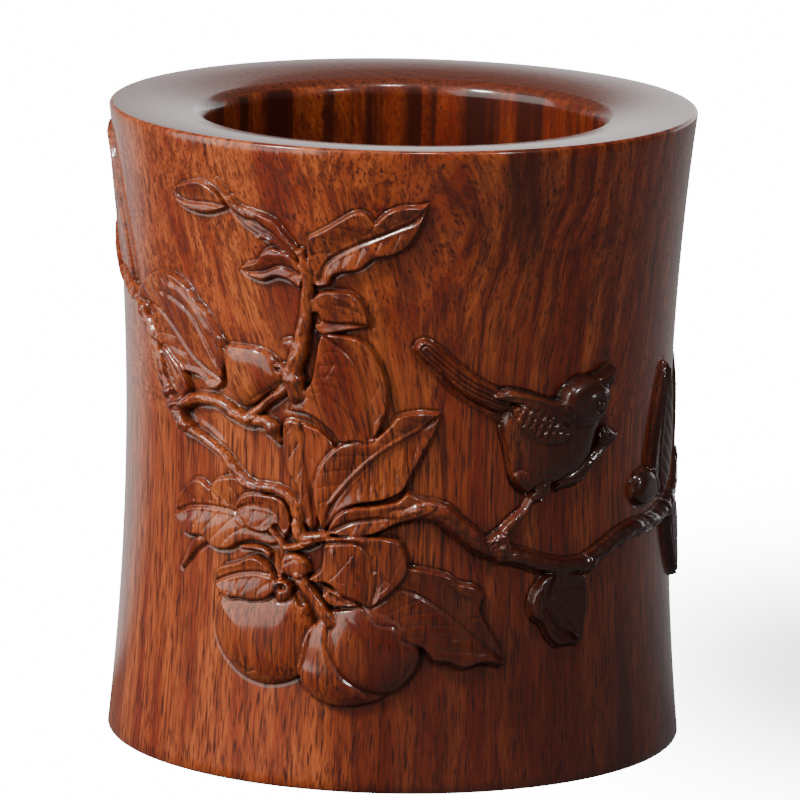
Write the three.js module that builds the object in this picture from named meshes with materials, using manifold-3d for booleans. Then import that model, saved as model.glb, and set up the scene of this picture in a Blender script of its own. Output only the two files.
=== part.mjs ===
// A carved brush pot, in millimetres, +Z up, standing on the plane z = 0 with its front towards -Y.
// It has three pieces of wood: the wall, turned from one log with a bore right through it and then carved in
// relief; the floor board, let into a rebate in the foot; and the plug that fills the board's centre hole.

import * as THREE from "three";
import { mergeVertices } from "three/addons/utils/BufferGeometryUtils.js";
import Module from "manifold-3d";

const wasm = await Module();
wasm.setup();

// The turned wall.
const POT_HEIGHT = 141;
const MOUTH_RADIUS = 65;
const WAIST_RADIUS = 60.4;
const WAIST_HEIGHT = 66;
const FOOT_RADIUS = 63.8;
const BORE_RADIUS = 43.7;
const RIM_DISH = 1.7; // fall of the rim's top from its outer edge to the shoulder of the bore
const DISH_SLOPE = 11; // degrees that the rim's top falls at where it meets the shoulder
const SHOULDER_RADIUS = 3.6; // rounding from the rim's top into the bore
const EDGE_ROUND = 0.9; // rounding of the rim's and the foot's outer edges

// The floor board and its plug.
const BOARD_THICKNESS = 10;
const BOARD_RECESS = 1; // gap between the board's underside and the desk
const SEAT_WIDTH = 6.5; // ledge of the rebate that the board sits against
const JOINT_GAP = 0.3; // glue line at every wood joint
const PLUG_RADIUS = 9;
const PLUG_HEAD_RADIUS = 12;
const PLUG_HEAD_THICKNESS = 4;

// The relief. It is drawn on a flat sheet: degrees round the pot from its front, and millimetres above the desk.
const SHEET_HEIGHT = 141; // height of the pot that the sheet is drawn for
const RELIEF_SINK = 1.6; // how deep each motif's underside lies in the wall
const LEAF_FULLNESS = 0.62; // 1 is a slender leaf, and less is a fuller one
const LEAF_FULLEST = 0.88; // below 1, a leaf is widest nearer its base

const TURNING_SIDES = 64;
const FLARE_STEPS = 9;
const ARC_STEPS = 4;

const rosewood = new THREE.MeshStandardMaterial({ color: 0x6b2410, roughness: 0.25, metalness: 0 });
const plugwood = new THREE.MeshStandardMaterial({ color: 0x3d150c, roughness: 0.35, metalness: 0 });

// Outer radius of the turned wall at a height: two flares that meet at the waist.
function wallRadius(height) {
  if (height > WAIST_HEIGHT) {
    const up = (height - WAIST_HEIGHT) / (POT_HEIGHT - WAIST_HEIGHT);
    return WAIST_RADIUS + (MOUTH_RADIUS - WAIST_RADIUS) * up ** 2;
  }
  const down = (WAIST_HEIGHT - height) / WAIST_HEIGHT;
  return WAIST_RADIUS + (FOOT_RADIUS - WAIST_RADIUS) * down ** 2;
}

// Points of a quarter-round in the profile plane, from one angle to another in degrees.
function arcPoints(centreRadius, centreHeight, radius, from, to) {
  return Array.from({ length: ARC_STEPS + 1 }, (_, i) => {
    const angle = THREE.MathUtils.degToRad(THREE.MathUtils.lerp(from, to, i / ARC_STEPS));
    return new THREE.Vector2(centreRadius + radius * Math.cos(angle), centreHeight + radius * Math.sin(angle));
  });
}

// A closed profile of radius and height, turned about +Z.
function turned(profile) {
  const closed = [...profile, profile[0].clone()];
  return new THREE.LatheGeometry(closed, TURNING_SIDES).rotateX(Math.PI / 2);
}

// A closed three.js geometry as a manifold-3d solid.
function solidOf(geometry) {
  const bare = geometry.clone();
  bare.deleteAttribute("normal");
  bare.deleteAttribute("uv");
  const merged = mergeVertices(bare, 1e-4);
  return new wasm.Manifold(
    new wasm.Mesh({
      numProp: 3,
      vertProperties: merged.attributes.position.array,
      triVerts: new Uint32Array(merged.index.array),
    }),
  );
}

function geometryOf(solid) {
  const { vertProperties, triVerts } = solid.getMesh();
  const geometry = new THREE.BufferGeometry();
  geometry.setAttribute("position", new THREE.BufferAttribute(vertProperties, 3));
  geometry.setIndex(new THREE.BufferAttribute(triVerts, 1));
  geometry.computeVertexNormals();
  return geometry;
}

// The wall before it is carved: foot, flared outside, rounded rim edge, dished rim, shoulder, bore and rebate.
function turnedWall() {
  const seatHeight = BOARD_RECESS + BOARD_THICKNESS + JOINT_GAP;
  const seatRadius = BORE_RADIUS + SEAT_WIDTH;
  const flare = Array.from({ length: FLARE_STEPS + 1 }, (_, i) => {
    const height = THREE.MathUtils.lerp(EDGE_ROUND, POT_HEIGHT - EDGE_ROUND, i / FLARE_STEPS);
    return new THREE.Vector2(wallRadius(height), height);
  });
  const footEdgeRadius = wallRadius(EDGE_ROUND) - EDGE_ROUND;
  const footEdge = arcPoints(footEdgeRadius, EDGE_ROUND, EDGE_ROUND, -90, 0).slice(0, -1);
  const rimEdgeRadius = wallRadius(POT_HEIGHT - EDGE_ROUND) - EDGE_ROUND;
  const rimEdge = arcPoints(rimEdgeRadius, POT_HEIGHT - EDGE_ROUND, EDGE_ROUND, 0, 90).slice(1);
  const shoulderCentre = BORE_RADIUS + SHOULDER_RADIUS;
  const shoulderHeight = POT_HEIGHT - RIM_DISH - SHOULDER_RADIUS;
  const shoulder = arcPoints(shoulderCentre, shoulderHeight, SHOULDER_RADIUS, 90 + DISH_SLOPE, 180);
  const dish = Array.from({ length: ARC_STEPS - 1 }, (_, i) => {
    const share = (i + 1) / ARC_STEPS;
    const radius = THREE.MathUtils.lerp(rimEdgeRadius, shoulder[0].x, share);
    return new THREE.Vector2(radius, THREE.MathUtils.lerp(POT_HEIGHT, shoulder[0].y, share ** 2));
  });
  const rebate = [
    new THREE.Vector2(BORE_RADIUS, seatHeight),
    new THREE.Vector2(seatRadius, seatHeight),
    new THREE.Vector2(seatRadius, 0),
  ];
  return turned([...footEdge, ...flare, ...rimEdge, ...dish, ...shoulder, ...rebate]);
}

// A point of the drawing sheet, in millimetres along the sheet and up it.
function sheetPoint([degrees, height]) {
  const across = THREE.MathUtils.degToRad(degrees) * WAIST_RADIUS;
  return new THREE.Vector3(across, (height * POT_HEIGHT) / SHEET_HEIGHT, 0);
}

// A point of the sheet wrapped on the wall, lifted off it along the radius.
function onWall(across, height, lift) {
  const angle = across / WAIST_RADIUS;
  const radius = wallRadius(height) + lift;
  return new THREE.Vector3(radius * Math.sin(angle), -radius * Math.cos(angle), height);
}

// A sphere pulled out along a spine on the sheet. halfWidth and lift give its half-width and height above the wall
// at each share of the spine, and its underside lies in the wall.
function pulledBead({ spine, halfWidth, lift, sides = 8, steps = 8 }) {
  const path = new THREE.CatmullRomCurve3(spine.map(sheetPoint));
  const bead = new THREE.SphereGeometry(1, sides, steps);
  const position = bead.attributes.position;
  const vertex = new THREE.Vector3();
  for (let i = 0; i < position.count; i += 1) {
    vertex.fromBufferAttribute(position, i);
    const share = Math.acos(THREE.MathUtils.clamp(-vertex.y, -1, 1)) / Math.PI;
    const ring = Math.hypot(vertex.x, vertex.z) || 1;
    const sideways = (vertex.x / ring) * halfWidth(share);
    const upwards = vertex.z / ring;
    const centre = path.getPoint(share);
    const along = path.getTangent(share);
    const raised = upwards > 0 ? upwards * lift(share) : 0;
    const across = centre.x + along.y * sideways;
    const height = centre.y - along.x * sideways;
    const sunk = upwards > 1e-6 ? raised : -RELIEF_SINK;
    position.setXYZ(i, ...onWall(across, height, sunk).toArray());
  }
  return bead;
}

// A leaf: full in its middle, pointed at both ends, and domed over its rib.
function leaf(spine, halfWidth, lift = 2) {
  return pulledBead({
    spine,
    halfWidth: (t) => halfWidth * Math.sin(Math.PI * t ** LEAF_FULLEST) ** LEAF_FULLNESS,
    lift: (t) => lift * Math.sin(Math.PI * t) ** 0.35,
    steps: 9,
  });
}

// A twig: round, and tapered from one radius to the other.
function twig(spine, startRadius, endRadius) {
  const radius = (t) => THREE.MathUtils.lerp(startRadius, endRadius, t) * Math.sin(Math.PI * t) ** 0.2;
  return pulledBead({
    spine,
    halfWidth: radius,
    lift: (t) => 1.15 * radius(t),
    sides: 6,
    steps: 2 * spine.length + 2,
  });
}

// A tail feather: a long bar with rounded ends.
function plume(spine, halfWidth, lift) {
  const bar = (t) => Math.sin(Math.PI * t) ** 0.25;
  return pulledBead({ spine, halfWidth: (t) => halfWidth * bar(t), lift: (t) => lift * bar(t) });
}

// A fruit, bud, head or body: an oval dome lying along its spine.
function dome(spine, halfWidth, lift) {
  const round = (t) => Math.sqrt(Math.max(0, 1 - (2 * t - 1) ** 2));
  return pulledBead({
    spine,
    halfWidth: (t) => halfWidth * round(t),
    lift: (t) => lift * round(t),
    sides: 12,
    steps: 9,
  });
}

// The branch that comes down from the rim on the left, its twigs, and the perch that runs to the right.
const twigs = [
  twig([[-86, 134], [-79, 122], [-71, 110], [-65, 101.5], [-59, 94.5], [-54, 84], [-49, 77]], 3, 2.8),
  twig([[-51, 79], [-43, 74], [-36.5, 70.5], [-32, 65.5], [-24, 64.3], [-20.4, 60.5], [-17, 53.5]], 2, 1.9),
  twig([[-51, 81], [-44, 83.5], [-37, 81], [-31, 79.3], [-25.5, 80], [-23.5, 76.5]], 1.8, 1.4),
  twig([[-32, 80], [-27, 84.5], [-21.5, 89]], 1.2, 1.2),
  twig([[-23.5, 84], [-19.5, 87.5], [-18.2, 93], [-17.2, 100], [-19, 107], [-19.2, 117]], 1.9, 1.5),
  twig([[-19.2, 115], [-24, 121], [-30, 125], [-35, 126.8], [-40, 131.2]], 1.5, 1.1),
  twig([[-14, 56.5], [-4, 60.5], [4, 62.5], [10, 60.3], [16, 55.5], [22, 52.3], [32, 48.8], [41, 48]], 1.8, 1.7),
  twig([[38, 48], [48, 51.8], [60, 53.3], [72, 54.5], [84, 58], [95, 66]], 1.7, 1.2),
  twig([[-20.5, 49], [-16.5, 43], [-13, 38]], 1.4, 1.4),
  twig([[-42, 52.5], [-47, 48.5], [-50.3, 45]], 1, 0.7),
];

const leaves = [
  leaf([[-36, 126.2], [-43, 127.6], [-50.4, 127.4]], 3.7),
  leaf([[-19, 115.5], [-26, 122.2], [-35.4, 127.6]], 3.2),
  leaf([[-19.4, 112], [-25, 114.8], [-33.2, 112.6]], 3.6),
  leaf([[-16.4, 111.6], [-9, 120.8], [5.4, 129.8]], 6.2),
  leaf([[-17.8, 104], [-12, 105.8], [-5.2, 102.4]], 4.8),
  leaf([[-15.6, 100.6], [-9.6, 90], [-7, 76.8]], 7.7, 2.3),
  leaf([[-16.6, 57], [-18.4, 69], [-20, 80.8]], 5, 1.6),
  leaf([[-14.6, 57], [-6, 71], [9, 83.8]], 8.2, 2.2),
  leaf([[-66.4, 101.4], [-50, 99], [-38.2, 85.6]], 9, 2.2),
  leaf([[-21.6, 57.6], [-36, 58.8], [-51.8, 56]], 7.5, 1.9),
  leaf([[-21.5, 59.4], [-28, 60.2], [-34.6, 60]], 4.4, 2.7),
  leaf([[-23.6, 45.2], [-31, 45.8], [-38.8, 43.2]], 5.2, 4.3),
  leaf([[-9, 46.4], [6, 41.6], [23.4, 27.2]], 8.6, 3),
  leaf([[-17, 46.8], [-7, 49.6], [3, 50.4]], 8.2, 3.9),
  leaf([[-14.4, 56.6], [-4, 60.6], [8.4, 64]], 4.3, 2.6),
  leaf([[34, 47.6], [34.8, 39], [40.8, 30]], 7.3, 2.1),
  leaf([[68.6, 57.6], [70, 72], [72, 88.6]], 5.2, 2.4),
  leaf([[77, 57.4], [81, 48], [85, 36.8]], 5, 2.4),
  leaf([[88, 60], [98, 72], [101, 88.2]], 5.2),
  leaf([[89, 59], [98, 54], [108.4, 44.6]], 5),
  leaf([[-66, 104], [-77, 118], [-89, 133]], 5.4, 2.2),
  leaf([[-81, 120], [-94, 112.6], [-108.4, 100.6]], 6.2),
];

const fruits = [
  dome([[-38, 86.5], [-30, 89.3], [-21.6, 91]], 6.4, 2.6),
  dome([[-27.4, 43], [-27.4, 22.3]], 12.6, 3.6),
  dome([[-8.5, 42], [-7.2, 30], [-7.6, 18.8]], 12.9, 3.8),
  dome([[57, 61.4], [68, 61.6]], 4, 2.6),
];

// Two birds on the perch. The nearer one's tail runs up to the left and its beak points up; the other one looks out
// from behind its throat.
const birds = [
  dome([[23, 83.4], [27, 78], [35, 75], [44.6, 79]], 10.4, 3.4),
  dome([[34.8, 84], [40.5, 84.8], [46.6, 85.6]], 5, 3.9),
  plume([[31, 84.6], [3.6, 99.2]], 2.7, 2.6),
  plume([[27, 82], [2, 96.8]], 1.9, 1.6),
  twig([[43.5, 86.5], [46.2, 88.8], [48, 91.8]], 1.6, 0.5),
  dome([[40.6, 73], [48.8, 77]], 3.1, 2.4),
  twig([[46.5, 76.2], [49.5, 75.8], [52.6, 75.3]], 1.4, 0.4),
  twig([[29.4, 66], [25, 60.8], [22.4, 57.4], [21.6, 53.6]], 1.2, 1.3),
];

// The wall with every motif standing proud of it, in one piece, as it is carved from the solid.
function carvedWall() {
  const motifs = [...twigs, ...leaves, ...fruits, ...birds].map(solidOf);
  const carved = wasm.Manifold.union([solidOf(turnedWall()), ...motifs]);
  return geometryOf(carved);
}

// The floor board, with a stepped hole for the plug.
function floorBoard() {
  const boardRadius = BORE_RADIUS + SEAT_WIDTH - JOINT_GAP;
  const top = BOARD_RECESS + BOARD_THICKNESS;
  const ledge = BOARD_RECESS + PLUG_HEAD_THICKNESS + JOINT_GAP;
  return turned(
    [
      [PLUG_HEAD_RADIUS + JOINT_GAP, BOARD_RECESS],
      [boardRadius, BOARD_RECESS],
      [boardRadius, top],
      [PLUG_RADIUS + JOINT_GAP, top],
      [PLUG_RADIUS + JOINT_GAP, ledge],
      [PLUG_HEAD_RADIUS + JOINT_GAP, ledge],
    ].map(([radius, height]) => new THREE.Vector2(radius, height)),
  );
}

// The plug: a headed peg, pushed in from below, flush with the board's two faces.
function centrePlug() {
  const top = BOARD_RECESS + BOARD_THICKNESS;
  const headTop = BOARD_RECESS + PLUG_HEAD_THICKNESS;
  return turned(
    [
      [0, BOARD_RECESS],
      [PLUG_HEAD_RADIUS, BOARD_RECESS],
      [PLUG_HEAD_RADIUS, headTop],
      [PLUG_RADIUS, headTop],
      [PLUG_RADIUS, top],
      [0, top],
    ].map(([radius, height]) => new THREE.Vector2(radius, height)),
  );
}

function named(name, geometry, material) {
  const mesh = new THREE.Mesh(geometry, material);
  mesh.name = name;
  return mesh;
}

const brushPot = new THREE.Group();
brushPot.add(
  named("carved_wall", carvedWall(), rosewood),
  named("floor_board", floorBoard(), rosewood),
  named("centre_plug", centrePlug(), plugwood),
);

export default brushPot;
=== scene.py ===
import math

import bpy
import numpy as np
from mathutils import Matrix


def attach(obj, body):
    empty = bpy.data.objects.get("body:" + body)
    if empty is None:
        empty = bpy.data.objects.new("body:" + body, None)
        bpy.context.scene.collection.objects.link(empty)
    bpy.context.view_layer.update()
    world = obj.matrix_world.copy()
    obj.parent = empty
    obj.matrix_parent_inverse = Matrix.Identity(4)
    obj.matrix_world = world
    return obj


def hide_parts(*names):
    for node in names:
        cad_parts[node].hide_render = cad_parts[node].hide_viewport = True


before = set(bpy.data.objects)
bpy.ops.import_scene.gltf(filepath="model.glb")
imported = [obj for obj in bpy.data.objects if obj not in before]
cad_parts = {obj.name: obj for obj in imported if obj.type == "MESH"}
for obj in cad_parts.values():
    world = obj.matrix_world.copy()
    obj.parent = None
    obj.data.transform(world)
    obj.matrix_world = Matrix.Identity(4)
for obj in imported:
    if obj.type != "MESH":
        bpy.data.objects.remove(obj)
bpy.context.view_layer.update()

# ----------------------------------------------------------------------------------------------------
# Sizes in millimetres, in the same frame as the solids: +Z up, the desk at z = 0, the front towards -Y.
# ----------------------------------------------------------------------------------------------------
MM = 0.001
POT_HEIGHT = 141.0
MOUTH_RADIUS = 65.0
WAIST_RADIUS = 60.4
WAIST_HEIGHT = 66.0
FOOT_RADIUS = 63.8
BORE_RADIUS = 43.7
RIM_DISH = 1.7
DISH_SLOPE = 11.0
SHOULDER_RADIUS = 3.6
EDGE_ROUND = 0.9
BOARD_THICKNESS = 10.0
BOARD_RECESS = 1.0
SEAT_WIDTH = 6.5
JOINT_GAP = 0.3
PLUG_RADIUS = 9.0
PLUG_HEAD_RADIUS = 12.0
PLUG_HEAD_THICKNESS = 4.0

# The carving is drawn on the wall unrolled: degrees round the pot from its front, and millimetres up
# from the desk. Inside the sheet, degrees become millimetres too.
MM_PER_DEGREE = 1.065
SHEET_EDGES = (-118.0, 122.0)  # how far the sheet goes round, in millimetres to each side
SHEET_SPAN = (6.0, 138.6)  # its lowest and highest row
CELL = 0.2

# The wall is turned coarsely, divided, carved and then thinned where it is plain.
CARVED_DEGREES = 236.0
PLAIN_COLUMNS = 30  # on each half of the plain back
ROW_STEP = 1.34
COLUMN_STEP = 1.31  # degrees
DIVISIONS = 2  # times each face of the turned wall is halved before it is carved
WALL_TRIANGLES = 190000

# Faces that meet at more than this are shaded with an edge between them.
WALL_CREASE = math.radians(50)
FLOOR_CREASE = math.radians(35)


def wall_radius(height):
    """Outer radius of the turned wall at a height: two flares that meet at the waist."""
    up = np.clip((height - WAIST_HEIGHT) / (POT_HEIGHT - WAIST_HEIGHT), 0, None)
    down = np.clip((WAIST_HEIGHT - height) / WAIST_HEIGHT, 0, None)
    return WAIST_RADIUS + (MOUTH_RADIUS - WAIST_RADIUS) * up**2 + (FOOT_RADIUS - WAIST_RADIUS) * down**2


# ----------------------------------------------------------------------------------------------------
# Drawing and carving on the sheet.
# ----------------------------------------------------------------------------------------------------
def smooth(points, closed=False, per=5):
    """A soft line through points of the sheet, in mm. A point given twice is a sharp corner."""
    knots = np.array(points, float) * (MM_PER_DEGREE, 1)
    count = len(knots)
    line = []
    for i in range(count if closed else count - 1):
        here, there = knots[i], knots[(i + 1) % count]
        if np.allclose(here, there):
            continue
        before = knots[(i - 1) % count] if closed or i else here
        after = knots[(i + 2) % count] if closed or i + 2 < count else there
        for t in np.arange(per) / per:
            a, b = (there - before) / 2, (after - here) / 2
            line.append(
                (2 * t**3 - 3 * t**2 + 1) * here
                + (t**3 - 2 * t**2 + t) * a
                + (3 * t**2 - 2 * t**3) * there
                + (t**3 - t**2) * b
            )
    line.append(line[0] if closed else knots[-1])
    return np.array(line)


def step(edge0, edge1, value):
    """0 below one edge, 1 above the other, and smooth between."""
    t = np.clip((value - edge0) / (edge1 - edge0), 0, 1)
    return t * t * (3 - 2 * t)


def bump(distance, width):
    """A soft hump, 1 at no distance and near 0 beyond the width."""
    return np.exp(-((distance / width) ** 2) * 2.5)


def line_length(line):
    return np.hypot(*np.diff(line, axis=0).T).sum()


class Place:
    """A window of the sheet round some points, with each cell's own place on it."""

    def __init__(self, sheet, line, margin):
        low, high = line.min(0) - margin, line.max(0) + margin
        columns = np.searchsorted(sheet.across, (low[0], high[0]))
        rows = np.searchsorted(sheet.up, (low[1], high[1]))
        self.cut = (slice(*rows), slice(*columns))
        self.x, self.y = np.meshgrid(sheet.across[self.cut[1]], sheet.up[self.cut[0]])

    def near(self, line):
        """Distance to a line, length along it at the nearest point, and its side: 1 left, -1 right."""
        best = np.full(self.x.shape, 1e9)
        along = np.zeros_like(best)
        side = np.zeros_like(best)
        run = 0.0
        for (ax, ay), (bx, by) in zip(line[:-1], line[1:]):
            dx, dy = bx - ax, by - ay
            length = math.hypot(dx, dy) or 1e-9
            t = np.clip(((self.x - ax) * dx + (self.y - ay) * dy) / length**2, 0, 1)
            gap = (self.x - ax - t * dx) ** 2 + (self.y - ay - t * dy) ** 2
            closer = gap < best
            best[closer] = gap[closer]
            along[closer] = (run + t * length)[closer]
            side[closer] = (dx * (self.y - ay) - dy * (self.x - ax))[closer]
            run += length
        return np.sqrt(best), along, np.where(side >= 0, 1, -1)

    def inside(self, line):
        """Depth inside a closed outline, less than 0 outside it."""
        distance, _, _ = self.near(line)
        odd = np.zeros(self.x.shape, bool)
        for (ax, ay), (bx, by) in zip(line[:-1], line[1:]):
            if ay != by:
                crossing = (bx - ax) * (self.y - ay) / (by - ay) + ax
                odd ^= ((ay > self.y) != (by > self.y)) & (self.x < crossing)
        return np.where(odd, distance, -distance)


class Sheet:
    """The carving: heights above the turned wall, cut one motif over another."""

    def __init__(self):
        self.across = np.arange(*SHEET_EDGES, CELL)
        self.up = np.arange(*SHEET_SPAN, CELL)
        self.height = np.zeros((len(self.up), len(self.across)))

    def lay(self, place, depth, top, wall=0.42, moat=0.22):
        """Lays a motif over what is there: a steep wall round it, and a fine cut at the wall's foot."""
        under = self.height[place.cut]
        cut = moat * bump(np.minimum(depth, 0) + 0.15, 0.62) * (depth < 0.1)
        under = under - cut
        share = step(-0.08, wall, depth)
        self.height[place.cut] = under + (np.maximum(top, under + 0.15) - under) * share

    def leaf(self, outline, rib, level=0.5, rise=1.3, left=0.0, right=0.0, veins=3.4, lean=0.9, cut=0.12):
        """A leaf: its edge stands up, its blade dips to the rib, and side veins run out from the rib.
        left and right raise the blade on that side of the rib, veins is the gap from vein to vein, and
        lean is how far forward they point."""
        outline, rib = smooth(outline, closed=True), smooth(rib)
        place = Place(self, outline, 2.0)
        depth = place.inside(outline)
        off, along, side = place.near(rib)
        share = off / (off + np.maximum(depth, 0) + 1e-6)
        tilt = np.where(side > 0, left, right)
        blade = 0.30 + 0.70 * share**1.4 + tilt * np.sin(np.pi * np.clip(share, 0, 1)) * 0.9
        top = level + 0.8 * rise * blade
        order = (along + lean * off**1.08) / veins + 0.25 * side
        vein = bump((order - np.round(order)) * veins, 0.42) * step(0.2, 1.4, off) * step(0.3, 1.8, depth)
        swell = 0.5 - 0.5 * np.cos(2 * np.pi * order)
        top = top + 0.05 * (swell - 0.5) * step(0.5, 2.5, off) * step(0, 2, depth) - cut * vein
        top = top - 0.30 * bump(off, 0.55) + 0.12 * bump(np.abs(off - 0.75), 0.4)
        top = top - 0.3 * (1 - step(0, 0.9, depth)) ** 2
        self.lay(place, depth, top)

    def bulge(self, outline, level=0.4, rise=3.0, steep=5.0, lines=()):
        """A fruit or a swollen leaf: steep at its edge and nearly flat on top, with lines cut in it."""
        outline = smooth(outline, closed=True)
        place = Place(self, outline, 2.0)
        depth = place.inside(outline)
        share = np.clip(np.maximum(depth, 0) / steep, 0, 1)
        top = level + rise * (1 - (1 - share) ** 2.2) ** 0.62
        for line, width, deep in lines:
            off, _, _ = place.near(smooth(line))
            top = top - deep * bump(off, width)
        self.lay(place, depth, top)

    def twig(self, line, wide, level=0.3, bark=0.07, knots=(), flat=0.85):
        """A twig: round, with its half-width given at even shares of its length, bark lines and knots."""
        line = smooth(line)
        place = Place(self, line, max(wide) + 3)
        off, along, side = place.near(line)
        length = line_length(line)
        ends = np.linspace(0, length, len(wide))
        half = np.interp(along, ends, wide)
        half = half * (1 + 0.05 * np.sin(along * 0.9 + side) + 0.02 * np.sin(along * 2.3 + 2 * side))
        for share, swell in knots:
            half = half + swell * bump(along - share * length, 1.6)
        round_top = np.sqrt(np.clip(1 - (off / half) ** 2, 0, 1))
        top = level + 1.3 * half * flat * round_top
        furrow = np.sin(off * 2.6 + 0.5 * np.sin(along * 0.9) + 0.8 * side)
        top = top - bark * bump(np.abs(furrow) * 0.6, 0.45)
        top = top + 0.04 * np.sin(along * 0.8 + 1.7 * off + side)
        self.lay(place, half - off, top, wall=0.4)

    def dig(self, outline, floor=0.1, wall=0.5):
        """A pit cut down to a floor height."""
        outline = smooth(outline, closed=True)
        place = Place(self, outline, 1.0)
        share = step(-0.1, wall, place.inside(outline))
        here = self.height[place.cut]
        self.height[place.cut] = here + (np.minimum(floor, here) - here) * share

    def score(self, line, width=0.5, deep=0.25):
        """A cut line, or a raised one where deep is less than 0."""
        line = smooth(line)
        place = Place(self, line, width * 2.5)
        off, along, _ = place.near(line)
        fade = step(0, 1.2, along) * step(0, 1.2, line_length(line) - along)
        self.height[place.cut] -= deep * bump(off, width) * (0.35 + 0.65 * fade)


sheet = Sheet()

# The left edge: a slim leaf that hangs from the rim, another behind it, and the branch they grow from.
sheet.leaf(
    [(-88, 118), (-97, 116), (-104, 110), (-108, 101), (-108, 101), (-99, 103), (-91, 109)],
    [(-88, 118), (-97, 111), (-108, 101)], level=0.2, rise=0.8,
)
sheet.twig([(-97, 116), (-88, 111), (-78, 105), (-68, 101)], (0.6, 1.1, 1.5), level=0.2)
sheet.leaf(
    [(-69, 102.5), (-74, 103.5), (-79, 110), (-82.5, 119), (-85, 128), (-87, 137.4), (-87, 137.4),
     (-80, 130), (-75.4, 120), (-71, 110)],
    [(-69, 103), (-75, 112), (-81, 126), (-87, 137)],
    level=0.45, rise=0.95, left=-0.2, right=0.4, cut=0.0,
)
sheet.twig(
    [(-76, 106), (-70, 103), (-64, 99.5), (-60.4, 95.5), (-58, 91.5), (-55, 85), (-52, 80), (-48, 76.3)],
    (0.7, 1.3, 1.7, 1.9, 1.9, 2.2), level=0.3, knots=((0.35, 0.4), (0.8, 0.5)),
)

# The top left spray.
sheet.leaf(
    [(-35, 129), (-33, 127), (-30, 126.3), (-27, 125.5), (-25, 124.5), (-23, 122), (-20, 118),
     (-19, 115.5), (-19, 115.5), (-22, 116.6), (-25, 118.6), (-28, 120.4), (-30, 121.5), (-33, 123.5),
     (-35.2, 126)],
    [(-35, 127.4), (-30, 124.2), (-26, 121.8), (-22, 118.3), (-19, 115.5)],
    level=0.7, rise=1.3, left=0.45, right=-0.35, veins=5.0,
)
sheet.leaf(
    [(-50.5, 127.5), (-50.5, 127.5), (-49, 129.2), (-47, 130), (-44, 131), (-41.3, 130.9), (-38, 129),
     (-35.5, 126.2), (-35.5, 126.2), (-38, 124.9), (-41, 124), (-45, 124), (-48.5, 125)],
    [(-50.5, 127.4), (-46, 126.2), (-40.5, 126.5), (-35.5, 126.2)],
    level=0.5, rise=1.35, left=0.1, right=0.35,
)
sheet.twig([(-38.5, 131.8), (-36, 128.6), (-33.2, 125.9), (-29.5, 124.6)], (0.5, 0.9, 0.7), level=0.9)
sheet.leaf(
    [(-33.2, 112.6), (-33.2, 112.6), (-32, 114.2), (-29.4, 115.2), (-28, 117.4), (-25.5, 118.4),
     (-22, 117.2), (-19.4, 114.8), (-19.2, 112), (-19.8, 109.6), (-19.8, 109.6), (-22, 111.3),
     (-25, 112), (-28, 110.8), (-31, 111.4)],
    [(-33, 112.6), (-28, 113), (-24, 114.6), (-19.8, 113.2)],
    level=0.5, rise=1.5, left=0.35, right=0.25,
)
sheet.score([(-29.5, 120), (-27.5, 120.6), (-25.2, 119.4)], 0.6, -0.5)
sheet.score([(-28.5, 116.8), (-26.5, 117.6), (-24.2, 117.4)], 0.5, 0.4)
sheet.score([(-20.2, 109.5), (-19.2, 112.5)], 0.5, -0.45)

# The large leaf at the top right.
sheet.leaf(
    [(-17.2, 111), (-18.4, 116), (-18.4, 121), (-17, 122.3), (-14, 124.2), (-12, 125.7), (-9, 127.6),
     (-6.7, 127.4), (-5, 125.3), (-5, 125.3), (-3, 127.6), (0, 129), (3, 129.1), (5.4, 129.8),
     (5.4, 129.8), (4.2, 126), (3, 122.8), (1, 119.8), (-2, 118), (-5, 117.4), (-8, 114.8), (-11.4, 114),
     (-13.2, 113), (-14.2, 111)],
    [(-16, 112), (-14.5, 116), (-11.5, 118.5), (-8, 120.5), (-4, 122.4), (0, 124.4), (3, 126.2),
     (5.4, 129.6)],
    level=0.5, rise=1.6, left=0.1, right=0.25, veins=4.2,
)
sheet.score([(-5, 125.3), (-5.6, 123.8), (-6.6, 122.8)], 0.4, 0.22)

# The big leaf at the left, with its folded edge.
sheet.leaf(
    [(-66, 100), (-66, 100), (-65, 103), (-62, 106.2), (-58, 108.6), (-54, 109.4), (-50, 108.7),
     (-47, 107), (-44.6, 104.4), (-41.6, 102), (-39.7, 99.4), (-38, 96.6), (-37.2, 93.5), (-37.3, 89.6),
     (-38.4, 86.2), (-41.4, 85.1), (-44, 87.4), (-47, 87.8), (-50, 88), (-53, 91), (-56, 92.2),
     (-60, 94.8)],
    [(-62, 101.4), (-57, 100.3), (-52, 97.2), (-47, 92.6), (-43, 90), (-38.6, 88)],
    level=0.5, rise=1.5, left=0.55, right=-0.1, veins=4.6, lean=1.3,
)
sheet.score([(-56, 104.6), (-51, 103.8), (-46, 101.2), (-42.5, 96.8), (-39.2, 91.2)], 0.75, 0.5)
sheet.score([(-54, 106.3), (-49, 105.6), (-44.6, 102.2), (-41, 97.8)], 0.9, -0.4)
sheet.dig([(-61.6, 100.8), (-59.6, 101), (-59.6, 98.4), (-61.2, 98)], 0.3)

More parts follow.
